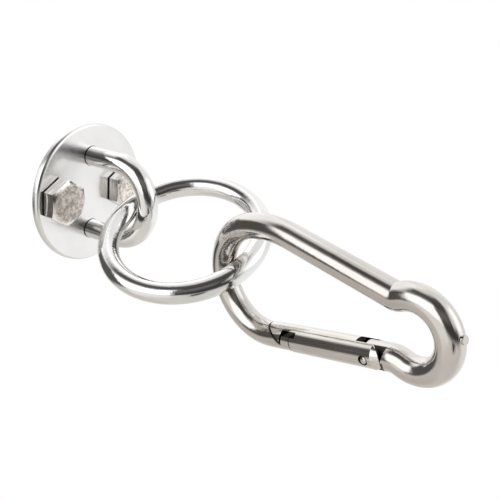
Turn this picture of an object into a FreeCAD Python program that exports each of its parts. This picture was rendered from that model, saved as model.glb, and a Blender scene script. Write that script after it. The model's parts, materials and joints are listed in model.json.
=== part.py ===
"""Ceiling hook for a hammock: a round screw plate with a welded bail, a ring and a snap hook.

Lengths are millimetres. +Z is up, the origin is the centre of the plate's back face, and the chain
hangs below it. The bail stands in the XZ plane and the two lag screws lie along Y.
"""
import FreeCAD
import Part
import os
from math import atan2, cos, degrees, pi, radians, sin, sqrt, tan

# Screw plate
PLATE_DIAMETER = 56.6
PLATE_THICKNESS = 3.0
PLATE_FRONT_ROUND = 1.3
PLATE_BACK_ROUND = 0.5

# Lag screws, M10 with a hexagon head
SCREW_PITCH = 34.8
SCREW_DIAMETER = 10.0
SCREW_LENGTH = 60.0
SCREW_PLAIN_LENGTH = 21.0
SCREW_CORE_DIAMETER = 7.4
SCREW_RUNOUT_LENGTH = 2.0
SCREW_POINT_LENGTH = 9.0
SCREW_POINT_DIAMETER = 0.8
SCREW_HOLE_CLEARANCE = 1.2
HEAD_ACROSS_FLATS = 16.0
HEAD_HEIGHT = 6.2
HEAD_FACE_SHARE = 0.89
HEAD_CHAMFER_ANGLE = 30.0
WASHER_FACE_DIAMETER = 15.2
WASHER_FACE_HEIGHT = 0.6

# Bail, a round bar bent to a U and welded into the plate
BAIL_WIRE = 8.0
BAIL_HALF_SPAN = 15.2
BAIL_DROP = 34.35
BAIL_HOLE_CLEARANCE = 0.12
WELD_DEPTH = 1.4
WELD_FLARE = 1.3
WELD_CLEARANCE = 0.03

# Ring and the way it hangs in the bail
RING_WIRE = 8.0
RING_INSIDE_DIAMETER = 49.9
HANG_CLEARANCE = 0.35
RING_SEAT_X = -1.6
RING_TWIST = -26.56
RING_TILT = 5.48
RING_SWING = -6.16

# Snap hook: a bent bar with a wide end that hangs in the ring and a round eye at the other end
HOOK_LENGTH = 103.4
HOOK_WIRE = 9.0
WIDE_END_RADIUS = 19.7
EYE_RADIUS = 11.75
SPINE_OFFSET = 22.18
SPINE_ANGLE = 12.51
SPINE_BLEND_START = 105.0
SPINE_NECK_RADIUS = 4.8
GATE_NECK_RADIUS = 7.0
GATE_ANGLE = 9.87
PIP_ANGLE = 12.5
PIP_DIAMETER = 2.8
PIP_HEIGHT = 0.7

# Where the hook hangs on the ring, and its lean
HOOK_PLACE_ON_RING = -2.8
HOOK_SEAT_ANGLE = 170.8
HOOK_TWIST = -7.24
HOOK_LEAN = -10.9
HOOK_TIP = -5.65

# Gate, measured along its axis from where the wide end runs into it
GATE_DIAMETER = 9.4
RIVET_PLACE = 44.25
RIVET_OFFSET = 0.6
RIVET_DIAMETER = 2.6
RIVET_FIT = 0.015
RIVET_RUNNING_FIT = 0.05
RIVET_RECESS_DIAMETER = 3.4
RIVET_RECESS_DEPTH = 0.7
RIVET_DOME = 0.35
EAR_RADIUS = 5.5
EAR_CLEARANCE = 1.0
EAR_BEVEL_LENGTH = 2.6
EAR_BEVEL_DEPTH = 1.2
TONGUE_THICKNESS = 3.4
TONGUE_RADIUS = 3.6
TONGUE_FLAT = 2.8
TONGUE_SIDE_CLEARANCE = 0.12
TONGUE_END_CLEARANCE = 0.5
SHOULDER_SLOPE = 20.0

# Latch: a notched head on the bar that the gate's nose drops into
HEAD_END = 12.0
SEAM_GAP = 0.4
NOTCH_MOUTH = 0.6
NOTCH_BOTTOM = 7.98
NOTCH_DEPTH_BELOW_AXIS = 0.9
NOTCH_UNDERCUT = 0.75
HEAD_TOP = 2.0
NOSE_CLEARANCE = 0.6
STRIP_THICKNESS = 1.0
WINDOW_LENGTH = 2.6
WINDOW_FLOOR = 2.0

# Return spring and plunger inside the gate
BORE_DIAMETER = 3.5
BORE_END = 18.5
PLUNGER_CLEARANCE = 0.1
PLUNGER_TIP_CHAMFER = 0.4
PLUNGER_LENGTH = 7.0
SPRING_WIRE = 0.6
SPRING_CLEARANCE = 0.15
SPRING_TURNS = 7

X_AXIS = FreeCAD.Vector(1, 0, 0)
Y_AXIS = FreeCAD.Vector(0, 1, 0)
Z_AXIS = FreeCAD.Vector(0, 0, 1)
CENTRE = FreeCAD.Vector(0, 0, 0)
SAME_PLACE = 1e-6

# Values worked out from the driving dimensions
PLATE_FRONT = -PLATE_THICKNESS
BAIL_R = BAIL_WIRE / 2
RING_R = RING_WIRE / 2
RING_MEAN_R = RING_INSIDE_DIAMETER / 2 + RING_R
HOOK_R = HOOK_WIRE / 2
GATE_R = GATE_DIAMETER / 2
CROWN_Z = PLATE_FRONT - BAIL_DROP + BAIL_R
EYE_CENTRE = FreeCAD.Vector(HOOK_LENGTH - HOOK_WIRE - WIDE_END_RADIUS - EYE_RADIUS, 0, 0)


def polar(radius, angle):
    """A point in the drawing plane at an angle in degrees."""
    return FreeCAD.Vector(radius * cos(radians(angle)), radius * sin(radians(angle)), 0)


def straight_bar(start, end, radius):
    return Part.makeCylinder(radius, (end - start).Length, start, end - start)


def bent_bar(centre, start, turn, radius):
    """A round bar bent in the drawing plane about a centre, by a turn in degrees."""
    tangent = Z_AXIS.cross(start - centre)
    section = Part.Face(Part.Wire(Part.Circle(start, tangent, radius).toShape()))
    return section.revolve(centre, Z_AXIS, turn)


def prism(points, half_width):
    """An outline in the drawing plane, extruded to both sides of it."""
    corners = [FreeCAD.Vector(x, y, -half_width) for x, y in points]
    outline = Part.makePolygon(corners + corners[:1])
    return Part.Face(outline).extrude(Z_AXIS * (2 * half_width))


def revolved(profile):
    """A solid turned about Z from (radius, height) points that start and end on the axis."""
    points = [FreeCAD.Vector(r, 0, z) for r, z in profile]
    outline = Part.makePolygon(points + points[:1])
    return Part.Face(outline).revolve(CENTRE, Z_AXIS, 360)


def placed(shape, placement):
    moved = shape.copy()
    moved.Placement = placement.multiply(moved.Placement)
    return moved


def screw_plate():
    """The disc, with clearance holes for the screws and countersunk holes for the bail's feet."""
    radius = PLATE_DIAMETER / 2
    disc = Part.makeCylinder(radius, PLATE_THICKNESS, FreeCAD.Vector(0, 0, PLATE_FRONT))
    for z, rounding in ((PLATE_FRONT, PLATE_FRONT_ROUND), (0, PLATE_BACK_ROUND)):
        rim = [edge for edge in disc.Edges if edge.Closed and abs(edge.CenterOfMass.z - z) < SAME_PLACE]
        disc = disc.makeFillet(rounding, rim)
    screw_hole_r = SCREW_DIAMETER / 2 + SCREW_HOLE_CLEARANCE
    foot_hole_r = BAIL_R + BAIL_HOLE_CLEARANCE
    sink_r = BAIL_R + WELD_CLEARANCE
    holes = []
    for side in (-1, 1):
        screw_at = FreeCAD.Vector(0, side * SCREW_PITCH / 2, PLATE_FRONT)
        holes.append(Part.makeCylinder(screw_hole_r, PLATE_THICKNESS, screw_at))
        foot_at = FreeCAD.Vector(side * BAIL_HALF_SPAN, 0, PLATE_FRONT)
        holes.append(Part.makeCylinder(foot_hole_r, PLATE_THICKNESS, foot_at))
        sink_at = FreeCAD.Vector(side * BAIL_HALF_SPAN, 0, -WELD_DEPTH)
        holes.append(Part.makeCone(sink_r, sink_r + WELD_FLARE, WELD_DEPTH, sink_at))
    return disc.cut(Part.makeCompound(holes))


def lag_screw(side):
    """A hexagon lag screw, head down on the plate's front, its shank going up into the beam."""
    under_head = PLATE_FRONT
    tip = under_head + SCREW_LENGTH
    plain_end = under_head + SCREW_PLAIN_LENGTH
    core_r = SCREW_CORE_DIAMETER / 2
    shank = revolved([
        (0, under_head),
        (SCREW_DIAMETER / 2, under_head),
        (SCREW_DIAMETER / 2, plain_end),
        (core_r, plain_end + SCREW_RUNOUT_LENGTH),
        (core_r, tip - SCREW_POINT_LENGTH),
        (SCREW_POINT_DIAMETER / 2, tip),
        (0, tip),
    ])
    corner_r = HEAD_ACROSS_FLATS / sqrt(3)
    corners = [polar(corner_r, 60 * k) for k in range(6)]
    outline = Part.makePolygon(corners + corners[:1])
    hexagon = Part.Face(outline).extrude(Z_AXIS * (WASHER_FACE_HEIGHT - HEAD_HEIGHT))
    hexagon.translate(Z_AXIS * -WASHER_FACE_HEIGHT)
    face_r = HEAD_FACE_SHARE * HEAD_ACROSS_FLATS / 2
    chamfer = (corner_r - face_r) * tan(radians(HEAD_CHAMFER_ANGLE))
    bevel = revolved([
        (0, 0),
        (corner_r, 0),
        (corner_r, chamfer - HEAD_HEIGHT),
        (face_r, -HEAD_HEIGHT),
        (0, -HEAD_HEIGHT),
    ])
    washer_face = straight_bar(Z_AXIS * -WASHER_FACE_HEIGHT, CENTRE, WASHER_FACE_DIAMETER / 2)
    head = hexagon.common(bevel).fuse(washer_face)
    head.translate(Z_AXIS * under_head)
    screw = head.fuse(shank).removeSplitter()
    screw.translate(Y_AXIS * (side * SCREW_PITCH / 2))
    return screw


def bail():
    """The U of round bar, with its feet through the plate and flared welds flush with the back."""
    bend_z = CROWN_Z + BAIL_HALF_SPAN
    pieces = []
    for side in (-1, 1):
        foot = FreeCAD.Vector(side * BAIL_HALF_SPAN, 0, 0)
        shoulder = FreeCAD.Vector(side * BAIL_HALF_SPAN, 0, bend_z)
        pieces.append(straight_bar(shoulder, foot, BAIL_R))
        weld_at = FreeCAD.Vector(side * BAIL_HALF_SPAN, 0, -WELD_DEPTH)
        pieces.append(Part.makeCone(BAIL_R, BAIL_R + WELD_FLARE, WELD_DEPTH, weld_at))
    start = FreeCAD.Vector(-BAIL_HALF_SPAN, 0, bend_z)
    section = Part.Face(Part.Wire(Part.Circle(start, Z_AXIS, BAIL_R).toShape()))
    crown = section.revolve(FreeCAD.Vector(0, 0, bend_z), Y_AXIS, -180)
    return crown.multiFuse(pieces).removeSplitter()


def ring_placement():
    """The ring's own X is its axis; it hangs from its seat over the bail's crown."""
    turn = FreeCAD.Rotation(Z_AXIS, RING_TWIST)
    turn = turn.multiply(FreeCAD.Rotation(Y_AXIS, RING_TILT))
    turn = turn.multiply(FreeCAD.Rotation(X_AXIS, RING_SWING))
    bend_z = CROWN_Z + BAIL_HALF_SPAN
    bar_z = bend_z - sqrt(BAIL_HALF_SPAN ** 2 - RING_SEAT_X ** 2)
    seat = FreeCAD.Vector(RING_SEAT_X, 0, bar_z + BAIL_R + RING_R + HANG_CLEARANCE)
    return FreeCAD.Placement(seat + turn.multVec(Z_AXIS * -RING_MEAN_R), turn)


def ring():
    return placed(Part.makeTorus(RING_MEAN_R, RING_R, CENTRE, X_AXIS), ring_placement())


def hook_placement():
    """From the hook's drawing plane, X along it and Y towards its spine, to where it hangs on the ring."""
    hanging = FreeCAD.Rotation(Z_AXIS * -1, X_AXIS, Y_AXIS * -1, "XYZ")
    turn = FreeCAD.Rotation(Z_AXIS, HOOK_TWIST)
    turn = turn.multiply(FreeCAD.Rotation(X_AXIS, HOOK_LEAN))
    turn = turn.multiply(FreeCAD.Rotation(Y_AXIS, HOOK_TIP))
    turn = turn.multiply(hanging)
    place = radians(HOOK_PLACE_ON_RING)
    on_ring = FreeCAD.Vector(0, sin(place), -cos(place)) * RING_MEAN_R
    bar_centre = ring_placement().multVec(on_ring)
    seat = polar(WIDE_END_RADIUS - HOOK_R - RING_R - HANG_CLEARANCE, HOOK_SEAT_ANGLE)
    return FreeCAD.Placement(bar_centre - turn.multVec(seat), turn)


def gate_placement():
    """From the gate's own axes, X along it and Y towards the spine, to the hook's drawing plane."""
    start = polar(WIDE_END_RADIUS, GATE_ANGLE - 90)
    return FreeCAD.Placement(start, FreeCAD.Rotation(Z_AXIS, GATE_ANGLE))


def neck(line_point, line_direction, outward, neck_radius):
    """The reverse bend from a straight run into the eye: its centre and its two tangent points."""
    line_gap = (line_point - EYE_CENTRE).dot(outward)
    back = sqrt((EYE_RADIUS + neck_radius) ** 2 - (line_gap + neck_radius) ** 2)
    centre = EYE_CENTRE + outward * (line_gap + neck_radius) - line_direction * back
    on_line = centre - outward * neck_radius
    on_eye = EYE_CENTRE + (centre - EYE_CENTRE) * (EYE_RADIUS / (EYE_RADIUS + neck_radius))
    return centre, on_line, on_eye


def turn_between(centre, start, end):
    """The signed turn, in degrees, of the shorter arc from start to end."""
    a = start - centre
    b = end - centre
    return degrees(atan2(a.cross(b).z, a.dot(b)))


def bent_hook_bar():
    """The hook's bar: latch end, wide end, spine, neck, eye, neck and hinge end, all tangent."""
    gate = gate_placement()
    along_gate = gate.Rotation.multVec(X_AXIS)
    below_gate = gate.Rotation.multVec(Y_AXIS * -1)
    latch_end = gate.multVec(X_AXIS * HEAD_END)
    wide_start = gate.Base
    wide_turn = -(270 + GATE_ANGLE - SPINE_BLEND_START)

    out_of_spine = polar(1, 90 - SPINE_ANGLE)
    along_spine = polar(1, -SPINE_ANGLE)
    fall = cos(radians(SPINE_BLEND_START - (90 - SPINE_ANGLE)))
    blend_radius = (SPINE_OFFSET - WIDE_END_RADIUS * fall) / (1 - fall)
    blend_start = polar(WIDE_END_RADIUS, SPINE_BLEND_START)
    blend_centre = polar(WIDE_END_RADIUS - blend_radius, SPINE_BLEND_START)
    blend_turn = (90 - SPINE_ANGLE) - SPINE_BLEND_START
    spine_start = blend_centre + out_of_spine * blend_radius

    neck_centre, spine_end, eye_start = neck(spine_start, along_spine, out_of_spine, SPINE_NECK_RADIUS)
    low_centre, low_start, eye_end = neck(wide_start, along_gate, below_gate, GATE_NECK_RADIUS)
    eye_turn = turn_between(EYE_CENTRE, eye_start, eye_end) % 360 - 360
    hinge_end = gate.multVec(X_AXIS * (RIVET_PLACE - TONGUE_RADIUS))
    pip_end = EYE_CENTRE + polar(EYE_RADIUS + HOOK_R + PIP_HEIGHT, PIP_ANGLE)

    pieces = [
        bent_bar(CENTRE, wide_start, wide_turn, HOOK_R),
        bent_bar(blend_centre, blend_start, blend_turn, HOOK_R),
        straight_bar(spine_start, spine_end, HOOK_R),
        bent_bar(neck_centre, spine_end, turn_between(neck_centre, spine_end, eye_start), HOOK_R),
        bent_bar(EYE_CENTRE, eye_start, eye_turn, HOOK_R),
        bent_bar(low_centre, eye_end, turn_between(low_centre, eye_end, low_start), HOOK_R),
        straight_bar(low_start, hinge_end, HOOK_R),
        straight_bar(EYE_CENTRE + polar(EYE_RADIUS, PIP_ANGLE), pip_end, PIP_DIAMETER / 2),
    ]
    latch = straight_bar(wide_start, latch_end, HOOK_R)
    return latch.multiFuse(pieces)


def latch_notch():
    """What is cut from the bar's end for the gate's nose, in the gate's own axes."""
    clear = 2 * HOOK_R
    fall = (HOOK_R + NOTCH_DEPTH_BELOW_AXIS) / (NOTCH_BOTTOM - NOTCH_MOUTH)
    return prism([
        (NOTCH_MOUTH - (clear - HOOK_R) / fall, clear),
        (NOTCH_BOTTOM, -NOTCH_DEPTH_BELOW_AXIS),
        (NOTCH_BOTTOM + NOTCH_UNDERCUT, HEAD_TOP),
        (HEAD_END + clear, HEAD_TOP),
        (HEAD_END + clear, clear),
    ], clear)


def rivet_axis(radius, half_length):
    """A round bar on the rivet's axis, in the gate's own axes."""
    start = FreeCAD.Vector(RIVET_PLACE, -RIVET_OFFSET, -half_length)
    return Part.makeCylinder(radius, 2 * half_length, start)


def hinge_cheeks():
    """What is cut from both sides of the bar's hinge end to leave the tongue, in the gate's own axes."""
    reach = EAR_RADIUS + EAR_CLEARANCE
    high = 2 * HOOK_R
    shoulder = RIVET_PLACE + reach
    slope = prism([
        (RIVET_PLACE, -RIVET_OFFSET),
        (shoulder, -RIVET_OFFSET),
        (shoulder + (high + RIVET_OFFSET) * tan(radians(SHOULDER_SLOPE)), high),
        (RIVET_PLACE, high),
    ], high)
    room = rivet_axis(reach, high).fuse(slope)
    behind_at = FreeCAD.Vector(RIVET_PLACE - reach, -high, -high)
    room = room.fuse(Part.makeBox(reach, 2 * high, 2 * high, behind_at))
    tongue_at = FreeCAD.Vector(RIVET_PLACE - high, -high, -TONGUE_THICKNESS / 2)
    return room.cut(Part.makeBox(4 * high, 2 * high, TONGUE_THICKNESS, tongue_at))


def tongue_end():
    """What is cut from the tongue to round it about the rivet, with a flat for the plunger."""
    high = 2 * HOOK_R
    behind = Part.makeBox(high, 2 * high, 2 * high, FreeCAD.Vector(RIVET_PLACE - high, -high, -high))
    flat = behind.copy()
    flat.translate(X_AXIS * -TONGUE_FLAT)
    return behind.cut(rivet_axis(TONGUE_RADIUS, high)).fuse(flat)


def hook_frame():
    gate = gate_placement()
    bar = bent_hook_bar()
    rivet_hole = rivet_axis(RIVET_DIAMETER / 2 + RIVET_RUNNING_FIT, 2 * HOOK_R)
    for shape in (latch_notch(), hinge_cheeks(), tongue_end(), rivet_hole):
        bar = bar.cut(placed(shape, gate))
    return placed(bar.removeSplitter(), hook_placement())


def gate_body():
    """The gate: a round bar with a nose and window at the latch, a fork at the hinge and a blind bore."""
    end = RIVET_PLACE + EAR_RADIUS
    bar = straight_bar(CENTRE, X_AXIS * end, GATE_R)

    slope = (HOOK_R + NOTCH_DEPTH_BELOW_AXIS) / (NOTCH_BOTTOM - NOTCH_MOUTH)
    lean = NOTCH_UNDERCUT / (HEAD_TOP + NOTCH_DEPTH_BELOW_AXIS)
    face_shift = NOSE_CLEARANCE * sqrt(1 + slope ** 2) / slope
    mouth = NOTCH_MOUTH + face_shift
    undercut = NOTCH_BOTTOM - NOSE_CLEARANCE
    drop = (HOOK_R - slope * (undercut + lean * NOTCH_DEPTH_BELOW_AXIS - mouth)) / (1 + slope * lean)
    strip = GATE_R - STRIP_THICKNESS
    seam = HEAD_END + SEAM_GAP
    high = 2 * GATE_R
    outline = prism([
        (mouth - (high - HOOK_R) / slope, high),
        (undercut + lean * (drop + NOTCH_DEPTH_BELOW_AXIS), drop),
        (undercut + lean * (strip + NOTCH_DEPTH_BELOW_AXIS), strip),
        (seam + WINDOW_LENGTH, strip),
        (seam + WINDOW_LENGTH, WINDOW_FLOOR),
        (seam, WINDOW_FLOOR),
        (seam, -high),
        (end + high, -high),
        (end + high, high),
    ], high)
    body = bar.common(outline)

    past_rivet = Part.makeBox(high, 2 * high, 2 * high, FreeCAD.Vector(RIVET_PLACE, -high, -high))
    body = body.cut(past_rivet.cut(rivet_axis(EAR_RADIUS, high)))
    bevel_at = X_AXIS * (end - EAR_BEVEL_LENGTH)
    bevelled = Part.makeCone(GATE_R, GATE_R - EAR_BEVEL_DEPTH, EAR_BEVEL_LENGTH, bevel_at, X_AXIS)
    body = body.cut(straight_bar(bevel_at, X_AXIS * (end + high), high).cut(bevelled))
    slot_half = TONGUE_THICKNESS / 2 + TONGUE_SIDE_CLEARANCE
    slot_start = RIVET_PLACE - TONGUE_RADIUS - TONGUE_END_CLEARANCE
    slot_at = FreeCAD.Vector(slot_start, -high, -slot_half)
    body = body.cut(Part.makeBox(2 * high, 2 * high, 2 * slot_half, slot_at))
    body = body.cut(straight_bar(X_AXIS * BORE_END, X_AXIS * slot_start, BORE_DIAMETER / 2))
    body = body.cut(rivet_axis(RIVET_DIAMETER / 2 + RIVET_FIT, high))
    recess_floor = sqrt(GATE_R ** 2 - RIVET_OFFSET ** 2) - RIVET_RECESS_DEPTH
    recess = rivet_axis(RIVET_RECESS_DIAMETER / 2, high)
    return body.cut(recess.cut(rivet_axis(RIVET_RECESS_DIAMETER, recess_floor)))


def gate_rivet():
    """The hinge pin, with a low dome peened on each end."""
    radius = RIVET_DIAMETER / 2
    half = sqrt(GATE_R ** 2 - RIVET_OFFSET ** 2) - RIVET_DOME
    pin = rivet_axis(radius, half)
    dome_r = (radius ** 2 + RIVET_DOME ** 2) / (2 * RIVET_DOME)
    for side in (-1, 1):
        ball_at = FreeCAD.Vector(RIVET_PLACE, -RIVET_OFFSET, side * (half + RIVET_DOME - dome_r))
        cap = Part.makeSphere(dome_r, ball_at).common(rivet_axis(radius, half + RIVET_DOME))
        beyond = rivet_axis(2 * radius, half)
        pin = pin.fuse(cap.cut(beyond))
    solids = sorted(pin.Solids, key=lambda solid: solid.Volume)
    return solids[-1].removeSplitter()


def plunger():
    """The spring's plunger: it slides in the bore and its tip bears on the tongue's flat."""
    tip = RIVET_PLACE - TONGUE_FLAT - PLUNGER_CLEARANCE
    radius = BORE_DIAMETER / 2 - PLUNGER_CLEARANCE
    body = straight_bar(X_AXIS * (tip - PLUNGER_LENGTH), X_AXIS * tip, radius)
    rim = [edge for edge in body.Edges if edge.Closed and edge.CenterOfMass.x > tip - PLUNGER_CLEARANCE]
    return body.makeChamfer(PLUNGER_TIP_CHAMFER, rim)


def gate_spring():
    """The coil spring between the end of the bore and the plunger."""
    back = RIVET_PLACE - TONGUE_FLAT - PLUNGER_CLEARANCE - PLUNGER_LENGTH
    wire_r = SPRING_WIRE / 2
    mean_r = BORE_DIAMETER / 2 - SPRING_CLEARANCE - wire_r
    length = back - BORE_END - SPRING_WIRE - SPRING_CLEARANCE
    helix = Part.makeHelix(length / SPRING_TURNS, length, mean_r)
    start = FreeCAD.Vector(mean_r, 0, 0)
    rise = FreeCAD.Vector(0, 2 * pi * mean_r, length / SPRING_TURNS)
    section = Part.Wire(Part.Circle(start, rise, wire_r).toShape())
    coil = Part.Wire(helix).makePipeShell([section], True, True)
    first_coil = BORE_END + wire_r + SPRING_CLEARANCE / 2
    along = FreeCAD.Placement(X_AXIS * first_coil, FreeCAD.Rotation(Z_AXIS, X_AXIS))
    return placed(coil, along)


def on_hook(shape):
    """Moves a piece from the gate's own axes to its place on the hanging hook."""
    return placed(shape, hook_placement().multiply(gate_placement()))


def main():
    nodes = {
        "screw_plate": screw_plate(),
        "bail": bail(),
        "lag_screws": Part.makeCompound([lag_screw(side) for side in (-1, 1)]),
        "ring": ring(),
        "hook_frame": hook_frame(),
        "gate": on_hook(gate_body()),
        "gate_rivet": on_hook(gate_rivet()),
        "gate_plunger": on_hook(plunger()),
        "gate_spring": on_hook(gate_spring()),
    }
    os.makedirs("parts", exist_ok=True)
    for name, shape in nodes.items():
        shape.exportStep("parts/" + name + ".step")
        print(name, "solids", len(shape.Solids), "valid", shape.isValid(), "volume", round(shape.Volume, 1))


main()
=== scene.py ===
"""Materials, studio and camera for the hammock hook, its lag screws' threads and its gate's spring.

Lengths are metres in the part's own frame: +Z up, the origin at the centre of the plate's back face.
"""
import bpy
import json
from collections import namedtuple
from math import atan2, cos, pi, radians, sin
from mathutils import Matrix, Vector


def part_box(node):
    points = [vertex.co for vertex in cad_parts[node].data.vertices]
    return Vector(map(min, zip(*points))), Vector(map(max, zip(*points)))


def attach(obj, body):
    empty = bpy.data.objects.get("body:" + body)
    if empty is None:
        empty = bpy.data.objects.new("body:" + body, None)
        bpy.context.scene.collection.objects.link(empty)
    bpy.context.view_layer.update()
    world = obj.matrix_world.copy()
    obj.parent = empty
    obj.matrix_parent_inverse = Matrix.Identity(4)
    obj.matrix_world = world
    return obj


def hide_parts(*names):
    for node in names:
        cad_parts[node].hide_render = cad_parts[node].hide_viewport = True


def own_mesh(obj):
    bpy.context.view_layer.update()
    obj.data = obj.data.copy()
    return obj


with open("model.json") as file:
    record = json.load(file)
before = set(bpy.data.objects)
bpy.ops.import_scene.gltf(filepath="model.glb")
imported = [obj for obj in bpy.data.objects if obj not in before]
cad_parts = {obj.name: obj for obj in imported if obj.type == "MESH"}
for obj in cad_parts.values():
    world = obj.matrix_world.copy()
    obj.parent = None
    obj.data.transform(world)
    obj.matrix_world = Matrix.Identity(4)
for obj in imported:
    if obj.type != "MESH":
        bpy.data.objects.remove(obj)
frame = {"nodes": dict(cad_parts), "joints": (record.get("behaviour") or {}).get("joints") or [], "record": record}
nodes = frame["nodes"]
joints = {joint["name"]: joint for joint in frame["joints"]}
mounts = {mount["name"]: mount for mount in frame["record"]["mounts"]}


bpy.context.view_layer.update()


class Value:
    """A socket of a shader graph, so that shader maths reads as plain arithmetic."""

    def __init__(self, graph, socket):
        self.graph = graph
        self.socket = socket

    def __add__(self, other):
        return self.graph.math("ADD", self, other)

    def __radd__(self, other):
        return self.graph.math("ADD", other, self)

    def __sub__(self, other):
        return self.graph.math("SUBTRACT", self, other)

    def __rsub__(self, other):
        return self.graph.math("SUBTRACT", other, self)

    def __mul__(self, other):
        return self.graph.math("MULTIPLY", self, other)

    def __rmul__(self, other):
        return self.graph.math("MULTIPLY", other, self)

    def __abs__(self):
        return self.graph.math("ABSOLUTE", self)

    def root(self):
        return self.graph.math("SQRT", self)

    def larger(self, other):
        """The larger of two values, which joins two masks."""
        return self.graph.math("MAXIMUM", self, other)

    def dot(self, direction):
        """The length of this vector along a fixed direction."""
        settings = {"operation": "DOT_PRODUCT"}
        return self.graph.value("ShaderNodeVectorMath", settings, {0: self, 1: direction}, "Value")

    def smooth(self, low, high):
        """0 below low and 1 above high, with a soft step between them."""
        settings = {"interpolation_type": "SMOOTHSTEP"}
        inputs = {"Value": self, "From Min": low, "From Max": high}
        return self.graph.value("ShaderNodeMapRange", settings, inputs)

    def between(self, low, high, soft):
        """1 from low to high, falling to 0 over a soft edge."""
        rise = self.smooth(low - soft, low + soft)
        return rise * (1 - self.smooth(high - soft, high + soft))


class Graph:
    """A node tree whose nodes are added by kind, settings and inputs."""

    def __init__(self, tree):
        self.tree = tree
        tree.nodes.clear()

    def node(self, kind, settings, inputs):
        made = self.tree.nodes.new(kind)
        for name, setting in settings.items():
            setattr(made, name, setting)
        for name, value in inputs.items():
            if isinstance(value, Value):
                self.tree.links.new(value.socket, made.inputs[name])
            else:
                made.inputs[name].default_value = value
        return made

    def value(self, kind, settings, inputs, output=0):
        return Value(self, self.node(kind, settings, inputs).outputs[output])

    def math(self, operation, first, second=0.0):
        return self.value("ShaderNodeMath", {"operation": operation}, {0: first, 1: second})

    def mix(self, factor, first, second):
        """A colour between two colours."""
        inputs = {"Factor": factor, 6: first, 7: second}
        return self.value("ShaderNodeMix", {"data_type": "RGBA"}, inputs, 2)

    def vector(self, x, y, z):
        return self.value("ShaderNodeCombineXYZ", {}, {"X": x, "Y": y, "Z": z})

    def noise(self, place, scale=1.0, detail=3.0, roughness=0.5):
        inputs = {"Vector": place, "Scale": scale, "Detail": detail, "Roughness": roughness}
        return self.value("ShaderNodeTexNoise", {}, inputs, "Fac")

    def bump(self, height):
        """The surface's normal, bent by a height in metres."""
        return self.value("ShaderNodeBump", {}, {"Height": height, "Distance": 1.0}, "Normal")

    def camera_ray(self):
        """1 for what the camera sees directly, and 0 for light and reflections."""
        return self.value("ShaderNodeLightPath", {}, {}, "Is Camera Ray")


def rgb(red, green, blue):
    return (red, green, blue, 1.0)


def grey(level):
    return rgb(level, level, level)


WHITE = grey(1.0)
UP = Vector((0, 0, 1))

# Photo camera: its place, and the directions of the picture's top and of the camera's back
CAMERA_PLACE = Vector((0.08775825, -0.21812235, -0.22695661))
CAMERA_UP = Vector((0.9408182, 0.2298848, 0.2490263))
CAMERA_BACK = Vector((0.3303193, -0.7863859, -0.5220022))
CAMERA_RIGHT = CAMERA_UP.cross(CAMERA_BACK)
CAMERA_LENS = 56.203
CAMERA_SENSOR = 36.0
CLIP_START = 0.01
CLIP_END = 20.0


def photo_camera():
    data = bpy.data.cameras.new("photo_camera")
    data.lens = CAMERA_LENS
    data.sensor_width = CAMERA_SENSOR
    data.clip_start = CLIP_START
    data.clip_end = CLIP_END
    camera = bpy.data.objects.new("photo_camera", data)
    axes = Matrix((CAMERA_RIGHT, CAMERA_UP, CAMERA_BACK)).transposed()
    camera.matrix_world = Matrix.Translation(CAMERA_PLACE) @ axes.to_4x4()
    bpy.context.scene.collection.objects.link(camera)
    bpy.context.scene.camera = camera


# Studio round the object, with light and dark panels placed in degrees
Panel = namedtuple("Panel", "tone azimuth elevation azimuth_soft elevation_soft")
TABLE_TONE = rgb(0.76, 0.735, 0.70)
ROOM_TONE = grey(0.94)
TOP_TONE = grey(0.92)
TABLE_EDGE = (-36, -20)
TOP_EDGE = (60, 72)
REAR_RIGHT_WALL = Panel(grey(1.1), (125, 200), (19, 100), 20, 15)
REAR_LEFT_WALL = Panel(grey(1.3), (-200, -104), (17, 100), 11, 8)
LEFT_TABLE = Panel(rgb(0.65, 0.62, 0.585), (-153, -86), (-70, -8), 25, 10)
RIGHT_TABLE = Panel(grey(1.04), (77, 160), (-48, -7), 8, 20)
NEAR_LEFT_TABLE = Panel(rgb(0.97, 0.95, 0.92), (-84, -22), (-38, -6), 6, 8)
DARK_ABOVE_CAMERA = Panel(rgb(0.10, 0.096, 0.092), (-86, 44), (34, 67), 13, 9)
DARK_BEHIND_CAMERA = Panel(rgb(0.078, 0.074, 0.07), (-21, 34), (-21, 52), 7, 9)
PALER_BEHIND_CAMERA = Panel(rgb(0.16, 0.153, 0.147), (-29, 22), (1, 27), 6, 6)
DARK_RIGHT_OF_CAMERA = Panel(rgb(0.057, 0.054, 0.051), (-5, 60), (-27, 3), 15, 12)
LEFT_LAMP = Panel(grey(1.6), (-80, -21), (-10, 30), 4, 4)
RIGHT_LAMP = Panel(grey(1.57), (60, 98), (0, 40), 9, 7)
DARK_LEFT_SCREEN = Panel(rgb(0.105, 0.1, 0.095), (-133, -82), (-20, 32), 4, 6)
DARK_UNDER_CAMERA = Panel(rgb(0.06, 0.057, 0.054), (3, 24), (-46, -29), 5, 5)
# Each panel covers the ones before it
STUDIO_PANELS = (
    REAR_RIGHT_WALL,
    REAR_LEFT_WALL,
    LEFT_TABLE,
    RIGHT_TABLE,
    NEAR_LEFT_TABLE,
    DARK_ABOVE_CAMERA,
    DARK_BEHIND_CAMERA,
    PALER_BEHIND_CAMERA,
    DARK_RIGHT_OF_CAMERA,
    LEFT_LAMP,
    RIGHT_LAMP,
    DARK_LEFT_SCREEN,
    DARK_UNDER_CAMERA,
)
TO_DEGREES = 180 / pi
LIGHT_STRENGTH = 1.0


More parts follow.
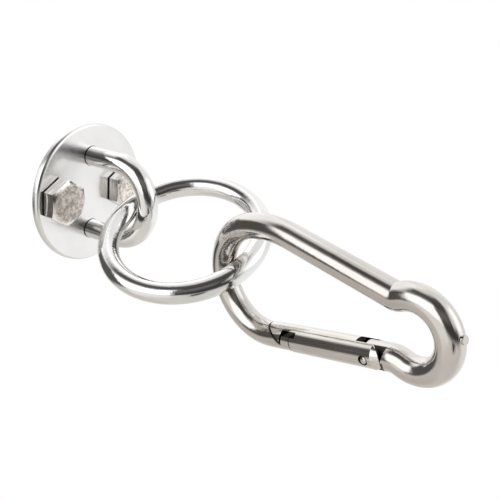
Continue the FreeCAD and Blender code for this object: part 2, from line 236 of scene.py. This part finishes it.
def studio():
    """The world's light: a table, a room and soft-edged panels, with plain white for the camera itself.

    Azimuth 0 lies behind the camera and grows to the picture's right. Elevation grows to its top.
    """
    world = bpy.data.worlds.new("studio")
    world.use_nodes = True
    bpy.context.scene.world = world
    graph = Graph(world.node_tree)
    way = graph.value("ShaderNodeTexCoord", {}, {}, "Generated")
    azimuth = graph.math("ARCTAN2", way.dot(CAMERA_RIGHT), way.dot(CAMERA_BACK)) * TO_DEGREES
    elevation = graph.math("ARCSINE", way.dot(CAMERA_UP)) * TO_DEGREES
    tone = graph.mix(elevation.smooth(*TABLE_EDGE), TABLE_TONE, ROOM_TONE)
    tone = graph.mix(elevation.smooth(*TOP_EDGE), tone, TOP_TONE)
    for panel in STUDIO_PANELS:
        sideways = azimuth.between(*panel.azimuth, panel.azimuth_soft)
        upright = elevation.between(*panel.elevation, panel.elevation_soft)
        tone = graph.mix(sideways * upright, tone, panel.tone)
    colour = graph.mix(graph.camera_ray(), tone, WHITE)
    sky = graph.value("ShaderNodeBackground", {}, {"Color": colour, "Strength": LIGHT_STRENGTH})
    graph.node("ShaderNodeOutputWorld", {}, {"Surface": sky})


def new_material(name):
    material = bpy.data.materials.new(name)
    material.use_nodes = True
    return material, Graph(material.node_tree)


def object_place(graph):
    return graph.value("ShaderNodeTexCoord", {}, {}, "Object")


def metal(graph, colour, roughness, height):
    """A metal surface whose normal is bent by a height in metres."""
    inputs = {"Metallic": 1.0, "Base Color": colour, "Roughness": roughness, "Normal": graph.bump(height)}
    surface = graph.value("ShaderNodeBsdfPrincipled", {}, inputs)
    graph.node("ShaderNodeOutputMaterial", {}, {"Surface": surface})


# Directions of the gate, as its joints give them: along it, across it, and inward to the hook's spine
GATE_ALONG = -Vector(joints["plunger_slide"]["axis"])
GATE_ACROSS = -Vector(joints["gate_hinge"]["axis"])
GATE_INWARD = GATE_ACROSS.cross(GATE_ALONG)
RIVET_CENTRE = Vector(joints["gate_hinge"]["pos_m"])
RIVET_ALONG = 0.04425
RIVET_INWARD = -0.0006
GATE_START = RIVET_CENTRE - GATE_ALONG * RIVET_ALONG - GATE_INWARD * RIVET_INWARD

# Axes that the bars are bent about
RING_LOW, RING_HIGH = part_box("ring")
RING_SPOKE = Vector(joints["hook_swing"]["pos_m"]) - (RING_LOW + RING_HIGH) / 2
BAIL_AXIS = Vector((0, 1, 0))
RING_AXIS = RING_SPOKE.cross(Vector(joints["hook_swing"]["axis"])).normalized()
HOOK_AXIS = GATE_ACROSS

# Painted shade in the gaps and recesses, where a pair is a span or the two ends of a soft step
PAINTED_SHADE_TONE = rgb(0.07, 0.066, 0.061)
PAINTED_SHADE_ROUGHNESS = 0.3
FOOT_RING = (-0.0034, -0.0029)
FOOT_SOFT = 0.00008
NOTCH_SPAN = (0.0004, 0.0090)
HINGE_SPAN = (0.0385, 0.0524)
SPAN_SOFT = 0.0003
BAR_INSIDE = (0.0043, 0.00447)
BAR_NEAR = (0.0047, 0.0050)
NOTCH_TOP_ALONG = 0.0006
NOTCH_TOP_INWARD = 0.0045
NOTCH_FOOT_ALONG = 0.00798
NOTCH_FOOT_INWARD = -0.0009
NOTCH_FLOOR = (-0.00135, -0.00115)
NOTCH_REACH = 0.00015
EDGE_WIDTH_AT_TOP = 0.00018
EDGE_WIDTH_AT_FOOT = 0.00090
EDGE_SOFT = 0.00005
SEAM_SPAN = (0.01186, 0.01252)
SEAM_SOFT = 0.00004
SHOULDER_EDGE = (0.0064, 0.0074)
SHOULDER_TOP = (-0.0006, 0.0)
TONGUE_SIDE = (0.0017, 0.0018)
EARS_START = (0.030, 0.031)
GATE_INSIDE = (0.0044, 0.0046)
EAR_INSIDE = (0.0031, 0.0034)
WINDOW_FLOOR = (0.0018, 0.0020)
RECESS_RADIUS = (0.00170, 0.00176)
RIVET_RIM = (0.00105, 0.00120)


def gate_coordinates(place):
    """How far a point is from the gate's start: along the gate, inward and across."""
    return [place.dot(axis) - GATE_START.dot(axis) for axis in (GATE_ALONG, GATE_INWARD, GATE_ACROSS)]


def length(first, second):
    """The length of a vector with these two parts."""
    return (first * first + second * second).root()


def from_rivet(along, inward):
    """How far a point is from the rivet's axis."""
    return length(along - RIVET_ALONG, inward - RIVET_INWARD)


def foot_painted_shade(place):
    """Painted shade on the joint line where the bail's legs enter the plate."""
    return place.dot(UP).between(*FOOT_RING, FOOT_SOFT)


def notch_edge_shade(along, inward):
    """Painted shade along the edge of the latch notch, wider towards the notch's foot."""
    run = NOTCH_FOOT_ALONG - NOTCH_TOP_ALONG
    drop = NOTCH_TOP_INWARD - NOTCH_FOOT_INWARD
    beyond = along - NOTCH_TOP_ALONG
    below = NOTCH_TOP_INWARD - inward - beyond * (drop / run)
    distance = below * cos(atan2(drop, run))
    width = EDGE_WIDTH_AT_TOP + beyond * ((EDGE_WIDTH_AT_FOOT - EDGE_WIDTH_AT_TOP) / run)
    near = 1 - (distance - width).smooth(-EDGE_SOFT, EDGE_SOFT)
    near = near * inward.smooth(*NOTCH_FLOOR)
    return near * along.between(NOTCH_TOP_ALONG, NOTCH_FOOT_ALONG + NOTCH_REACH, EDGE_SOFT)


def bar_painted_shade(place):
    """Painted shade on the faces inside the hook bar's latch notch and hinge, and on their edges."""
    along, inward, across = gate_coordinates(place)
    radius = length(inward, across)
    inside = along.between(*NOTCH_SPAN, SPAN_SOFT) + along.between(*HINGE_SPAN, SPAN_SOFT)
    inside = inside * (1 - radius.smooth(*BAR_INSIDE))
    edges = notch_edge_shade(along, inward).larger(along.between(*SEAM_SPAN, SEAM_SOFT))
    edges = edges * (1 - radius.smooth(*BAR_NEAR))
    shoulder = from_rivet(along, inward).between(*SHOULDER_EDGE, EDGE_SOFT)
    shoulder = shoulder * (1 - inward.smooth(*SHOULDER_TOP)) * abs(across).smooth(*TONGUE_SIDE)
    return inside.larger(edges).larger(shoulder)


def gate_painted_shade(place):
    """Painted shade on the faces inside the gate's window and fork, on its seam and in the rivet's recess."""
    along, inward, across = gate_coordinates(place)
    radius = length(inward, across)
    at_ears = along.smooth(*EARS_START)
    window = (1 - at_ears) * (1 - radius.smooth(*GATE_INSIDE))
    fork = at_ears * (1 - radius.smooth(*EAR_INSIDE))
    recess = 1 - from_rivet(along, inward).smooth(*RECESS_RADIUS)
    seam = along.between(*SEAM_SPAN, SEAM_SOFT) * (1 - inward.smooth(*WINDOW_FLOOR))
    return (window + fork).larger(recess).larger(seam)


def rivet_painted_shade(place):
    """Painted shade on the rivet's rim, down in its recess."""
    along, inward, _ = gate_coordinates(place)
    return from_rivet(along, inward).smooth(*RIVET_RIM)


# Polished steels: the tones of their clouds, how rough they are, and how deep their polish waves
Polish = namedtuple("Polish", "dull bright smoothest roughest wave_depth")
PLATE_POLISH = Polish(rgb(0.80, 0.795, 0.785), rgb(0.87, 0.865, 0.855), 0.17, 0.27, 0.000025)
MIRROR_POLISH = Polish(rgb(0.76, 0.755, 0.745), rgb(0.85, 0.845, 0.835), 0.04, 0.10, 0.00003)
HOOK_POLISH = Polish(rgb(0.61, 0.58, 0.55), rgb(0.69, 0.66, 0.63), 0.06, 0.13, 0.000015)
RIVET_POLISH = HOOK_POLISH._replace(smoothest=0.12, roughest=0.20, wave_depth=0.000005)
PLUNGER_POLISH = HOOK_POLISH._replace(smoothest=0.20, roughest=0.30, wave_depth=0.000005)
SPRING_POLISH = HOOK_POLISH._replace(smoothest=0.22, roughest=0.32, wave_depth=0.000004)
CLOUD_SCALE = 55.0
CLOUD_STEP = (0.3, 0.7)
CLOUD_SHARE = 0.6
GRAIN_SCALE = 2600.0
HAZE_STEP = (0.35, 0.65)
WAVE_SCALE = 160.0
RIPPLE_SCALE = 700.0
LINE_SCALE = 1700.0
LINE_STRETCH = 45.0
LINE_STEP = (0.5, 0.75)
LINE_DEPTH = 0.00004
LINE_ROUGHNESS = 0.08


def lengthwise(graph, place, axis):
    """Coordinates that change fast along the axis a bar is bent about, and slowly along the bar."""
    side = axis.orthogonal().normalized()
    other = axis.cross(side)
    stretched = place.dot(side) * LINE_STRETCH
    return graph.vector(place.dot(axis) * LINE_SCALE, stretched, place.dot(other) * LINE_STRETCH)


def polished_steel(name, polish, bent_about=None, shade_mask=None):
    """Polished steel with faint clouds, a fine grain, an uneven polish and painted shade in its crevices.

    A bar that is bent about an axis also has polishing lines along it.
    """
    material, graph = new_material(name)
    place = object_place(graph)
    cloud = graph.noise(place, CLOUD_SCALE)
    grain = graph.noise(place, GRAIN_SCALE, detail=2.0)
    colour = graph.mix(cloud.smooth(*CLOUD_STEP), polish.dull, polish.bright)
    haze = (CLOUD_SHARE * cloud + (1 - CLOUD_SHARE) * grain).smooth(*HAZE_STEP)
    roughness = polish.smoothest + (polish.roughest - polish.smoothest) * haze
    waves = graph.noise(place, WAVE_SCALE, detail=1.0)
    ripples = graph.noise(place, RIPPLE_SCALE)
    height = polish.wave_depth * (waves + ripples)
    if bent_about:
        lines = graph.noise(lengthwise(graph, place, bent_about))
        roughness = roughness + LINE_ROUGHNESS * lines.smooth(*LINE_STEP)
        height = height + LINE_DEPTH * lines
    if shade_mask:
        # Painted shade: a dark tone and more roughness in the crevices
        dark = shade_mask(place)
        colour = graph.mix(dark, colour, PAINTED_SHADE_TONE)
        roughness = roughness + PAINTED_SHADE_ROUGHNESS * dark
    metal(graph, colour, roughness, height)
    return material


# Brushed steel of the gate
GATE_DULL = rgb(0.60, 0.57, 0.535)
GATE_BRIGHT = rgb(0.76, 0.73, 0.695)
GATE_SMOOTHEST = 0.05
BRUSH_LENGTH_SCALE = 45.0
BRUSH_WIDTH_SCALE = 2400.0
BRUSH_SHARE = 0.6
BRUSH_STEP = (0.3, 0.7)
BRUSH_DEPTH = 0.000025
BRUSH_ROUGHNESS = 0.08


def brushed_steel(name):
    """Polished steel with fine lines along the gate, and painted shade in its window, fork, seam and rivet recess.
    """
    material, graph = new_material(name)
    place = object_place(graph)
    along, inward, across = gate_coordinates(place)
    slow = along * BRUSH_LENGTH_SCALE
    lines = graph.noise(graph.vector(slow, inward * BRUSH_WIDTH_SCALE, across * BRUSH_WIDTH_SCALE))
    cloud = graph.noise(place, CLOUD_SCALE)
    shade = (BRUSH_SHARE * lines + (1 - BRUSH_SHARE) * cloud).smooth(*HAZE_STEP)
    # Painted shade: a dark tone and more roughness in the gate's window, fork, seam and rivet recess
    dark = gate_painted_shade(place)
    colour = graph.mix(shade, GATE_DULL, GATE_BRIGHT)
    colour = graph.mix(dark, colour, PAINTED_SHADE_TONE)
    roughness = GATE_SMOOTHEST + BRUSH_ROUGHNESS * lines.smooth(*BRUSH_STEP) + PAINTED_SHADE_ROUGHNESS * dark
    metal(graph, colour, roughness, BRUSH_DEPTH * lines)
    return material


# Plain steel of the lag screws
FACE_STEP = (-0.0092, -0.0086)
FACE_DULL = rgb(0.49, 0.44, 0.395)
FACE_BRIGHT = rgb(0.97, 0.92, 0.87)
SIDE_DULL = rgb(0.72, 0.695, 0.67)
SIDE_BRIGHT = rgb(1.0, 0.985, 0.965)
# Painted shade in a band round the washer faces under the heads, where they meet the plate
WASHER_SHADE_LINE = (-0.0036, -0.0028)
WASHER_SOFT = 0.00006
MOTTLE_SCALE = 520.0
SPECK_SCALE = 1700.0
MOTTLE_SHARE = 0.6
MOTTLE_ROUGHNESS = 0.6
PATCH_STEP = (0.40, 0.60)
MACHINED_LENGTH_SCALE = 120.0
MACHINED_WIDTH_SCALE = 1500.0
MACHINED_STEP = (0.35, 0.65)
SIDE_ROUGHNESS = 0.08
FACE_ROUGHNESS = 0.24
PATCH_ROUGHNESS = 0.04
PIT_DEPTH = 0.00008
SIDE_PIT_SHARE = 0.08


def screw_steel(name):
    """Plain steel, mottled on the heads' faces, brighter with machined lines round the sides, and with a band of
    painted shade under the heads.
    """
    material, graph = new_material(name)
    place = object_place(graph)
    height = place.dot(UP)
    face = 1 - height.smooth(*FACE_STEP)
    mottle = graph.noise(place, MOTTLE_SCALE, detail=4.0, roughness=MOTTLE_ROUGHNESS)
    specks = graph.noise(place, SPECK_SCALE, roughness=MOTTLE_ROUGHNESS)
    patch = (MOTTLE_SHARE * mottle + (1 - MOTTLE_SHARE) * specks).smooth(*PATCH_STEP)
    level_x = place.dot((1, 0, 0)) * MACHINED_LENGTH_SCALE
    level_y = place.dot((0, 1, 0)) * MACHINED_LENGTH_SCALE
    lines = graph.noise(graph.vector(level_x, level_y, height * MACHINED_WIDTH_SCALE))
    face_tone = graph.mix(patch, FACE_DULL, FACE_BRIGHT)
    side_tone = graph.mix(lines.smooth(*MACHINED_STEP), SIDE_DULL, SIDE_BRIGHT)
    colour = graph.mix(face, side_tone, face_tone)
    # Painted shade under the heads, where they meet the plate
    colour = graph.mix(height.between(*WASHER_SHADE_LINE, WASHER_SOFT), colour, PAINTED_SHADE_TONE)
    roughness = SIDE_ROUGHNESS + FACE_ROUGHNESS * face + PATCH_ROUGHNESS * patch
    pit_share = SIDE_PIT_SHARE + (1 - SIDE_PIT_SHARE) * face
    metal(graph, colour, roughness, PIT_DEPTH * (mottle + specks) * pit_share)
    return material


# Threads of the lag screws
SCREW_PITCH = mounts["ceiling_studs"]["dims"]["pcd_mm"] / 1000
SCREW_PLACES = (("lag_thread_near", -SCREW_PITCH / 2), ("lag_thread_far", SCREW_PITCH / 2))
THREAD_PITCH = 0.0045
THREAD_START = 0.0190
THREAD_POINT = 0.0480
THREAD_END = 0.0562
THREAD_CORE_RADIUS = 0.0037
THREAD_TIP_RADIUS = 0.0006
THREAD_HEIGHT = 0.0013
THREAD_TIP_SHARE = 0.15
THREAD_LEAST_SHARE = 0.02
THREAD_ROOT_SINK = 0.0002
THREAD_HALF_BASE = 0.0011
THREAD_HALF_CREST = 0.00015
THREAD_BASE_TAPER = 0.6
THREAD_CREST_TAPER = 0.5
THREAD_RUN_IN = 0.0030
THREAD_SHARP_ANGLE = radians(35)
STEPS_PER_TURN = 40


def thread_section(z, turn):
    """Four corners of the ridge at a height on the screw, about the screw's own axis."""
    taper = max(0.0, (z - THREAD_POINT) / (THREAD_END - THREAD_POINT))
    core = THREAD_CORE_RADIUS + (THREAD_TIP_RADIUS - THREAD_CORE_RADIUS) * taper
    share = min(1.0, (z - THREAD_START) / THREAD_RUN_IN, 1 + THREAD_TIP_SHARE - taper)
    crest = core + THREAD_HEIGHT * max(share, THREAD_LEAST_SHARE)
    root = core - THREAD_ROOT_SINK
    half_base = THREAD_HALF_BASE * (1 - THREAD_BASE_TAPER * taper)
    half_crest = THREAD_HALF_CREST * (1 - THREAD_CREST_TAPER * taper)
    outline = [(root, -half_base), (crest, -half_crest), (crest, half_crest), (root, half_base)]
    return [(r * cos(turn), r * sin(turn), z + rise) for r, rise in outline]


def lag_thread(name, y, material):
    """The helical ridge of one lag screw, a closed strip sunk a little into the screw's core."""
    steps = round((THREAD_END - THREAD_START) / THREAD_PITCH * STEPS_PER_TURN)
    points = []
    for k in range(steps + 1):
        z = THREAD_START + (THREAD_END - THREAD_START) * k / steps
        points += thread_section(z, 2 * pi * (z - THREAD_START) / THREAD_PITCH)
    faces = [(3, 2, 1, 0)]
    for k in range(steps):
        for side in range(4):
            a = 4 * k + side
            b = 4 * k + (side + 1) % 4
            faces.append((a, b, b + 4, a + 4))
    last = 4 * steps
    faces.append((last, last + 1, last + 2, last + 3))
    mesh = bpy.data.meshes.new(name)
    mesh.from_pydata([(px, py + y, pz) for px, py, pz in points], [], faces)
    mesh.validate()
    mesh.shade_smooth()
    mesh.set_sharp_from_angle(angle=THREAD_SHARP_ANGLE)
    mesh.materials.append(material)
    thread = bpy.data.objects.new(name, mesh)
    bpy.context.scene.collection.objects.link(thread)
    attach(thread, "anchor")


def return_spring(material):
    coil = bpy.data.objects.new("return_spring", nodes["gate_spring"].data.copy())
    coil.data.materials.clear()
    coil.data.materials.append(material)
    bpy.context.scene.collection.objects.link(coil)
    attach(coil, "gate")
    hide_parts("gate_spring")
    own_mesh(coil)


# Stage: a ceiling that is seen only from below, and a floor well under the object
CEILING_RADIUS = 0.25
CEILING_Z = 0.00005
CEILING_STEPS = 96
FLOOR_HALF = 0.5
FLOOR_Z = -0.9
FLOOR_TONE = grey(0.92)
FLOOR_ROUGHNESS = 0.8


def stage_piece(name, points, material):
    mesh = bpy.data.meshes.new(name)
    mesh.from_pydata(points, [], [tuple(range(len(points)))])
    mesh.materials.append(material)
    piece = bpy.data.objects.new(name, mesh)
    bpy.context.scene.collection.objects.link(piece)
    return piece


def white_where(graph, shown, otherwise):
    """Plain white where shown is 1, and the other surface where it is 0."""
    white = graph.value("ShaderNodeEmission", {}, {"Color": WHITE, "Strength": 1.0})
    surface = graph.value("ShaderNodeMixShader", {}, {0: shown, 1: otherwise, 2: white})
    graph.node("ShaderNodeOutputMaterial", {}, {"Surface": surface})


def ceiling():
    """A white patch on the ceiling's plane, seen from below only and never in a reflection."""
    material, graph = new_material("ceiling_white")
    behind = graph.value("ShaderNodeNewGeometry", {}, {}, "Backfacing")
    clear = graph.value("ShaderNodeBsdfTransparent", {}, {})
    white_where(graph, graph.camera_ray() * (1 - behind), clear)
    turns = [-2 * pi * k / CEILING_STEPS for k in range(CEILING_STEPS)]
    rim = [(CEILING_RADIUS * cos(a), CEILING_RADIUS * sin(a), CEILING_Z) for a in turns]
    stage_piece("ceiling", rim, material)


def floor():
    """A pale floor, white to the camera and never in a reflection."""
    material, graph = new_material("floor_white")
    inputs = {"Base Color": FLOOR_TONE, "Roughness": FLOOR_ROUGHNESS}
    pale = graph.value("ShaderNodeBsdfPrincipled", {}, inputs)
    white_where(graph, graph.camera_ray(), pale)
    square = [(-1, -1), (1, -1), (1, 1), (-1, 1)]
    piece = stage_piece("floor", [(FLOOR_HALF * x, FLOOR_HALF * y, FLOOR_Z) for x, y in square], material)
    piece.visible_glossy = False


def dress(node, material):
    nodes[node].data.materials.clear()
    nodes[node].data.materials.append(material)


bpy.context.scene.view_settings.view_transform = "Standard"
photo_camera()
studio()

screws = screw_steel("screw_steel")
dress("screw_plate", polished_steel("plate_steel", PLATE_POLISH))
dress("bail", polished_steel("bail_steel", MIRROR_POLISH, BAIL_AXIS, foot_painted_shade))
dress("ring", polished_steel("ring_steel", MIRROR_POLISH, RING_AXIS))
dress("hook_frame", polished_steel("hook_steel", HOOK_POLISH, HOOK_AXIS, bar_painted_shade))
dress("gate", brushed_steel("gate_steel"))
dress("gate_rivet", polished_steel("rivet_steel", RIVET_POLISH, shade_mask=rivet_painted_shade))
dress("gate_plunger", polished_steel("plunger_steel", PLUNGER_POLISH))
spring_wire = polished_steel("spring_steel", SPRING_POLISH)
dress("gate_spring", spring_wire)
return_spring(spring_wire)
dress("lag_screws", screws)
for thread_name, thread_y in SCREW_PLACES:
    lag_thread(thread_name, thread_y, screws)
ceiling()
floor()
